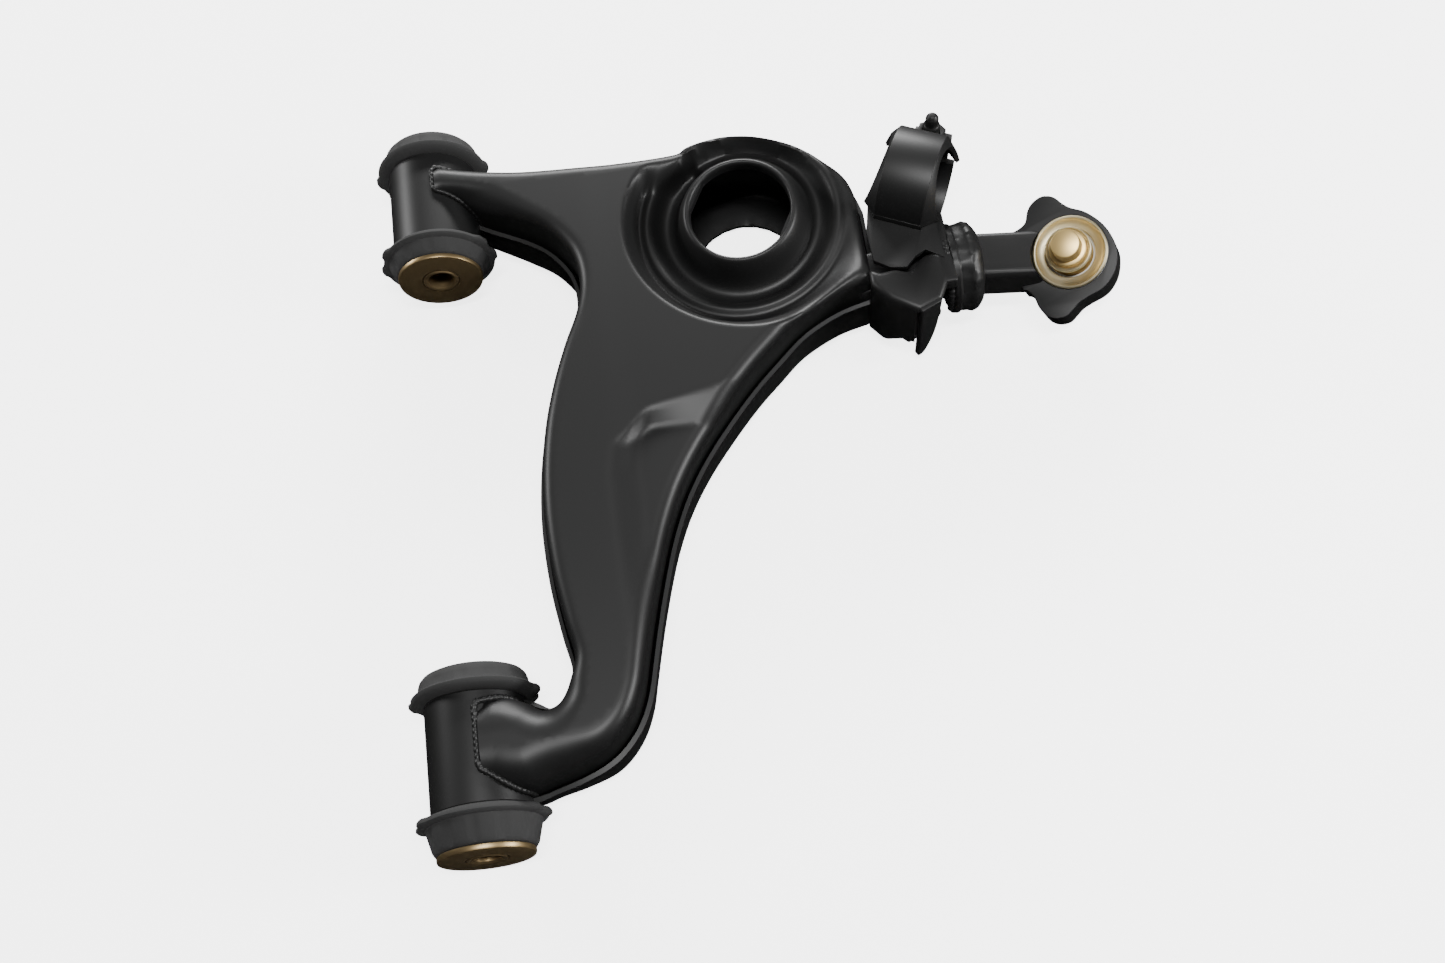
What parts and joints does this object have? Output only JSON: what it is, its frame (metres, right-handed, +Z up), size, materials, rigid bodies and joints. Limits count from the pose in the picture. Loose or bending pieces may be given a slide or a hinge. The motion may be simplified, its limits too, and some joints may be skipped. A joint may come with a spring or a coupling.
{
  "type": "control arm",
  "caption": "Pressed-steel lower control arm with two rubber pivot bushes, coil spring seat, anti-roll bar clamp and a forged end with ball joint.",
  "frame": {"origin": "centre of the bottom of the whole arm's box, as it lies flat; the pivot axis is 27 mm above the base, 145.7 mm inboard of the origin", "axes": "+Z up, +Y towards the front of the car along the pivot axis, +X outboard towards the ball joint (right-hand arm)"},
  "size_m": [0.3438, 0.349, 0.0702],
  "materials": {
    "arm_paint": "gloss black paint over pressed and forged steel, slightly soft highlights",
    "bush_rubber": "matt moulded rubber",
    "plated_zinc": "dull golden-brown zinc plating",
    "bare_steel": "machined steel, lightly oiled",
    "bearing_resin": "moulded bearing plastic",
    "yellow_chromate": "satin yellow chromate plating",
    "turned_stud": "bright turned end, yellow plated"
  },
  "bodies": {
    "arm": {"upper_shell": "arm_paint", "lower_shell": "arm_paint", "outer_forging": "arm_paint", "rear_gusset": "arm_paint", "lower_gusset": "arm_paint", "stop_tab": "arm_paint", "front_eye_tube": "arm_paint", "front_rubber_rear": "bush_rubber", "front_rubber_front": "bush_rubber", "rear_eye_tube": "arm_paint", "rear_rubber_rear": "bush_rubber", "rear_rubber_front": "bush_rubber", "bar_clamp_strap": "arm_paint", "clamp_bolt": "arm_paint", "clamp_nut": "arm_paint", "clamp_washer": "arm_paint", "bar_bracket": "arm_paint", "ball_joint_housing": "bare_steel", "bearing_shell": "bearing_resin", "end_cover": "bare_steel", "boot_plate": "yellow_chromate"},
    "front_bush_core": {"front_inner_sleeve": "plated_zinc", "front_washer_rear": "plated_zinc", "front_washer_front": "plated_zinc"},
    "rear_bush_core": {"rear_inner_sleeve": "plated_zinc", "rear_washer_rear": "plated_zinc", "rear_washer_front": "plated_zinc"},
    "lower_seat": {"lower_seat": "bearing_resin"},
    "stud_collar": {"stud_collar": "yellow_chromate"},
    "ball_stud": {"ball_stud": "turned_stud"}
  },
  "joints": [
    {"name": "front_sleeve_turn", "type": "hinge", "parent": "arm", "child": "front_bush_core", "pos_m": [-0.14567, 0.1375, 0.0262], "axis": [0, 1, 0], "range_deg": [-20, 20], "stiffness_Nm_per_rad": 25},
    {"name": "rear_sleeve_turn", "type": "hinge", "parent": "arm", "child": "rear_bush_core", "pos_m": [-0.14567, -0.1357, 0.0262], "axis": [0, 1, 0], "range_deg": [-20, 20], "stiffness_Nm_per_rad": 25},
    {"name": "ball_tilt_fore_aft", "type": "hinge", "parent": "arm", "child": "lower_seat", "pos_m": [0.14829, 0.05713, 0.02812], "axis": [0.9443, -0.1017, 0.3129], "range_deg": [-12, 12]},
    {"name": "ball_tilt_side", "type": "hinge", "parent": "lower_seat", "child": "stud_collar", "pos_m": [0.14829, 0.05713, 0.02812], "axis": [0, 0.951, 0.3092], "range_deg": [-12, 12]},
    {"name": "stud_spin", "type": "hinge", "parent": "stud_collar", "child": "ball_stud", "pos_m": [0.14829, 0.05713, 0.02812], "axis": [-0.329, -0.292, 0.898], "continuous": true}
  ]
}
